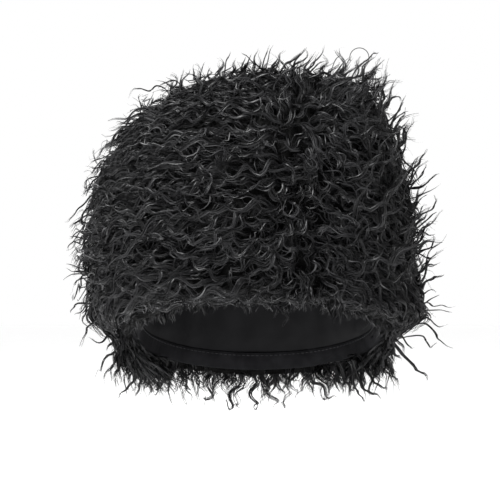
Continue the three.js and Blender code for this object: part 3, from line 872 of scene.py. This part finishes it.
def fringe(row, rng):
    """Locks that hang from the hem in uneven tufts."""
    count = row["locks"]
    turn = np.radians(np.linspace(*row["turns"], count, endpoint=False))
    turn += rng.normal(0, FRINGE_TURN_SPREAD, count)
    depth = MM * rng.uniform(*row["depth"], count)
    start = fur_to_hat(turn, HALF_WIDTH + depth, np.full(count, FRINGE_ROOT))
    tufts = 0.8 + 0.3 * np.sin(FRINGE_TUFTS * turn + 2 * np.sin(5 * turn))
    share = smoothstep(nape_share(turn), *FRINGE_GROWS)
    most = MM * (row["brow"] + (row["nape"] - row["brow"]) * share)
    reach = most * tufts * rng.uniform(*FRINGE_REACH, count)
    way = outward(start) * rng.normal(0, FRINGE_WAY_SPREAD, count)[:, None]
    way[:, :2] += rng.normal(0, FRINGE_WAY_SPREAD, (count, 2))
    way[:, 2] = -1
    length = reach + FRINGE_ABOVE
    tips = start + unit(way) * length[:, None]
    axes, normals = straight_axes(start, tips, FRINGE_SAG * reach)
    curl = {
        "width": np.full(count, FRINGE_WIDTH),
        "wave": FRINGE_WAVE * rng.uniform(0.4, 1.3, count) * smoothstep(reach, -0.01, 0.03),
        "turns": length / (FRINGE_WAVELENGTH * rng.uniform(0.8, 1.5, count)),
        "coil": rng.uniform(0, 1.2, count),
        "phase": rng.uniform(0, 2 * math.pi, count),
        "tone": rng.uniform(*FRINGE_TONES, count),
        "radius": FRINGE_RADIUS,
        "loose": FRINGE_LOOSE,
    }
    return curled_strands(axes, normals, length, curl, FRINGE_STRANDS, FRINGE_KNOTS, rng)


def standing_lock(lock, rng):
    """A lock along its route, with its root inside the fur."""
    route = MM * np.array([(x, lock.y, z) for x, z in lock.route])
    away = outward(route[:1])
    axis = smooth_route(np.concatenate([route[:1] - STANDING_ROOT * away, route]), AXIS_STEPS)[None]
    normals = np.repeat(away[:, None], AXIS_STEPS, axis=1)
    length = np.linalg.norm(np.diff(axis, axis=1), axis=-1).sum(1)
    curl = {
        "width": np.array([0.5 * MM * lock.width]),
        "wave": np.array([STANDING_WAVE]),
        "turns": length / STANDING_WAVELENGTH,
        "coil": np.zeros(1),
        "phase": rng.uniform(0, 2 * math.pi, 1),
        "tone": np.array([STANDING_TONE]),
        "radius": STANDING_RADIUS,
        "loose": STANDING_LOOSE,
    }
    return curled_strands(axis, normals, length, curl, 2 * lock.pairs, STANDING_KNOTS, rng)


def ring_hair(row):
    """One thin hair that curls round a ring."""
    angle = np.radians(np.linspace(row["start"], row["end"], RING_KNOTS))
    middle = MM * np.array([row["x"], row["y"], row["z"]])
    path = middle + MM * row["radius"] * np.stack([np.cos(angle), RING_PITCH * angle, np.sin(angle)], -1)
    return path[None], np.full((1, RING_KNOTS), RING_HAIR_RADIUS), np.array([RING_TONE])


# The regions of the hat, in metres: a strand belongs to the first one that its root lies in
REGIONS = (
    ("fur_crown_left", lambda p: (p[:, 2] > 0.13) & (p[:, 0] < 0.015)),
    ("fur_crown_right", lambda p: p[:, 2] > 0.13),
    ("fur_front_left", lambda p: (p[:, 1] < -0.05) & (p[:, 0] < 0.01)),
    ("fur_front_right", lambda p: p[:, 1] < -0.05),
    ("fur_left", lambda p: (p[:, 0] < -0.04) & (p[:, 1] < 0.065)),
    ("fur_right", lambda p: (p[:, 0] > 0.04) & (p[:, 1] < 0.065)),
    ("fur_nape_left", lambda p: p[:, 0] < 0),
    ("fur_nape_right", lambda p: p[:, 0] >= 0),
)


def fur_pieces():
    """All the strands, in one piece for each region of the hat."""
    rng = np.random.default_rng(FUR_SEED)
    batches = [grow_layer(layer, rng) for layer in LAYERS]
    batches += [fringe(row, rng) for row in FRINGES]
    batches += [standing_lock(lock, rng) for lock in STANDING_LOCKS]
    batches += [ring_hair(row) for row in RING_HAIRS]
    pieces = []
    for name, inside in REGIONS:
        chosen, rest = [], []
        for batch in batches:
            here = inside(batch[0][:, 0])
            chosen.append(tuple(part[here] for part in batch))
            rest.append(tuple(part[~here] for part in batch))
        batches = rest
        pieces.append(strand_piece(name, [batch for batch in chosen if len(batch[0])]))
    return pieces


# Materials

def node_material(name, color, roughness, specular):
    material = bpy.data.materials.new(name)
    material.use_nodes = True
    shader = material.node_tree.nodes["Principled BSDF"]
    shader.inputs["Base Color"].default_value = (*color, 1)
    shader.inputs["Roughness"].default_value = roughness
    shader.inputs["Specular IOR Level"].default_value = specular
    return material, material.node_tree, shader


def noise(tree, scale, detail):
    place = tree.nodes.new("ShaderNodeTexCoord")
    texture = tree.nodes.new("ShaderNodeTexNoise")
    texture.inputs["Scale"].default_value = scale
    texture.inputs["Detail"].default_value = detail
    tree.links.new(place.outputs["Object"], texture.inputs["Vector"])
    return texture.outputs["Fac"]


def tint(tree, shader, source, span, dark, light):
    """Colours the surface from dark to light as source goes over its span."""
    node = tree.nodes.new("ShaderNodeValToRGB")
    first, last = node.color_ramp.elements
    first.position, last.position = span
    first.color, last.color = (*dark, 1), (*light, 1)
    tree.links.new(source, node.inputs["Fac"])
    tree.links.new(node.outputs["Color"], shader.inputs["Base Color"])


def bump(tree, shader, height, strength, distance):
    node = tree.nodes.new("ShaderNodeBump")
    node.inputs["Strength"].default_value = strength
    node.inputs["Distance"].default_value = distance
    tree.links.new(height, node.inputs["Height"])
    tree.links.new(node.outputs["Normal"], shader.inputs["Normal"])


def add(tree, first, second, weight):
    """first plus weight times second."""
    node = tree.nodes.new("ShaderNodeMath")
    node.operation = "MULTIPLY_ADD"
    node.inputs[1].default_value = weight
    tree.links.new(second, node.inputs[0])
    tree.links.new(first, node.inputs[2])
    return node.outputs[0]


def curly_hair():
    """Black hair whose strands differ in tone, with a faint fleck along each."""
    black = (0.004, 0.004, 0.0043)
    material, tree, shader = node_material("curly_hair", black, roughness=0.47, specular=0.085)
    own = tree.nodes.new("ShaderNodeAttribute")
    own.attribute_name = "tone"
    tone = add(tree, own.outputs["Fac"], noise(tree, scale=60, detail=3), weight=0.6)
    tint(tree, shader, tone, (0.3, 1.0), dark=(0.0006, 0.0006, 0.0007), light=(0.0075, 0.0075, 0.008))
    return material


def dense_pile_with_painted_shade():
    """The felted hair between the locks: black pile, painted darker and duller than the locks to stand for
    the shade deep in the fur.
    """
    # painted shade: the pile's colour is set darker than the hair of the locks, so the gaps between locks
    # read as deep shade
    material, tree, shader = node_material("dense_pile_with_painted_shade", (0.002, 0.002, 0.002), roughness=0.9, specular=0.02)
    clumps = noise(tree, scale=90, detail=5)
    tint(tree, shader, clumps, (0.4, 0.75), dark=(0.0006, 0.0006, 0.0006), light=(0.003, 0.003, 0.003))
    bump(tree, shader, noise(tree, scale=420, detail=4), strength=1.0, distance=0.002)
    return material


def suede():
    """The napped inner side of the hide, in two browns."""
    material, tree, shader = node_material("suede", (0.05, 0.045, 0.04), roughness=0.95, specular=0.15)
    patches = noise(tree, scale=140, detail=6)
    tint(tree, shader, patches, (0.35, 0.7), dark=(0.035, 0.031, 0.028), light=(0.062, 0.056, 0.05))
    bump(tree, shader, noise(tree, scale=1500, detail=4), strength=0.5, distance=0.0003)
    return material


def satin():
    """Smooth dark satin with faint creases and a fine weave; the creases' hollows are painted darker as
    painted shade.
    """
    material, tree, shader = node_material("satin", (0.0025, 0.0025, 0.0028), roughness=0.55, specular=0.02)
    crease_bumps_and_painted_shade = noise(tree, scale=38, detail=5)
    # painted shade: the crease noise, which is also the bump's height, makes the colour darker where the
    # creases dip
    tint(tree, shader, crease_bumps_and_painted_shade, (0.35, 0.7), dark=(0.0015, 0.0015, 0.0017), light=(0.0035, 0.0035, 0.0038))
    weave = noise(tree, scale=2600, detail=2)
    bump(tree, shader, add(tree, crease_bumps_and_painted_shade, weave, weight=0.05), strength=0.6, distance=0.0012)
    return material


def tape():
    """Twill tape: slanted ribs, with a little wear."""
    grey = (0.0035, 0.0035, 0.004)
    material, tree, shader = node_material("twill_tape", grey, roughness=0.85, specular=0.02)
    place = tree.nodes.new("ShaderNodeTexCoord")
    ribs = tree.nodes.new("ShaderNodeTexWave")
    ribs.bands_direction = "DIAGONAL"
    ribs.inputs["Scale"].default_value = 900
    ribs.inputs["Distortion"].default_value = 0.3
    tree.links.new(place.outputs["Object"], ribs.inputs["Vector"])
    wear = noise(tree, scale=70, detail=4)
    tint(tree, shader, wear, (0.35, 0.7), dark=(0.002, 0.002, 0.0023), light=(0.005, 0.005, 0.0055))
    bump(tree, shader, ribs.outputs["Fac"], strength=0.5, distance=0.0004)
    return material


def thread():
    """Dark thread with a slight change of tone from stitch to stitch."""
    material, tree, shader = node_material("thread", (0.01, 0.01, 0.011), roughness=0.6, specular=0.15)
    flecks = noise(tree, scale=900, detail=2)
    tint(tree, shader, flecks, (0.3, 0.7), dark=(0.006, 0.006, 0.0065), light=(0.014, 0.014, 0.015))
    return material


def dress(piece, material, node):
    """Gives a piece its material, hangs it from the root body and hides the part of the model that it stands
    for.
    """
    piece.data.materials.append(material)
    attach(piece, "root")
    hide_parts(node)


hair = curly_hair()
for piece in fur_pieces():
    dress(piece, hair, "fur")
dress(undercoat(), dense_pile_with_painted_shade(), "fur")
dress(hide(), suede(), "crown_shell")
dress(satin_lining(), satin(), "lining")
dress(binding(), tape(), "hem_binding")
dress(hem_stitches(), thread(), "hem_binding")


# Floor, light and camera

def stage():
    """A pale floor below the hat, and even white light all round."""
    reach = FLOOR_REACH
    corners = [(-reach, -reach, 0), (reach, -reach, 0), (reach, reach, 0), (-reach, reach, 0)]
    floor = new_mesh("floor", corners, [(0, 1, 2, 3)], smooth=False)
    floor.location.z = FLOOR_Z
    material, tree, shader = node_material("pale_floor", (0.95, 0.95, 0.95), roughness=0.9, specular=0.1)
    patches = noise(tree, scale=3, detail=2)
    tint(tree, shader, patches, (0.3, 0.7), dark=(0.98, 0.98, 0.98), light=(1.0, 1.0, 1.0))
    floor.data.materials.append(material)
    world = bpy.data.worlds.new("studio")
    world.use_nodes = True
    world.node_tree.nodes["Background"].inputs["Color"].default_value = (1, 1, 1, 1)
    world.node_tree.nodes["Background"].inputs["Strength"].default_value = 1.0
    bpy.context.scene.world = world


def turn_to(thing, target):
    """Turns a light or the camera towards a place."""
    thing.rotation_euler = (Vector(target) - thing.location).to_track_quat("-Z", "Y").to_euler()


def area_light(row):
    light = bpy.data.lights.new(row["name"], "AREA")
    light.size = row["size"]
    light.energy = row["energy"]
    lamp = new_object(row["name"], light)
    lamp.location = row["place"]
    turn_to(lamp, LIGHT_TARGET)


def camera():
    data = bpy.data.cameras.new("camera")
    data.sensor_width = SENSOR_WIDTH
    data.lens = LENS
    view = new_object("camera", data)
    away = Vector((0, -math.cos(CAMERA_ELEVATION), math.sin(CAMERA_ELEVATION)))
    view.location = Vector(CAMERA_TARGET) + CAMERA_DISTANCE * away
    turn_to(view, CAMERA_TARGET)
    bpy.context.scene.camera = view


stage()
for row in LIGHTS:
    area_light(row)
camera()
bpy.context.scene.view_settings.view_transform = "Standard"
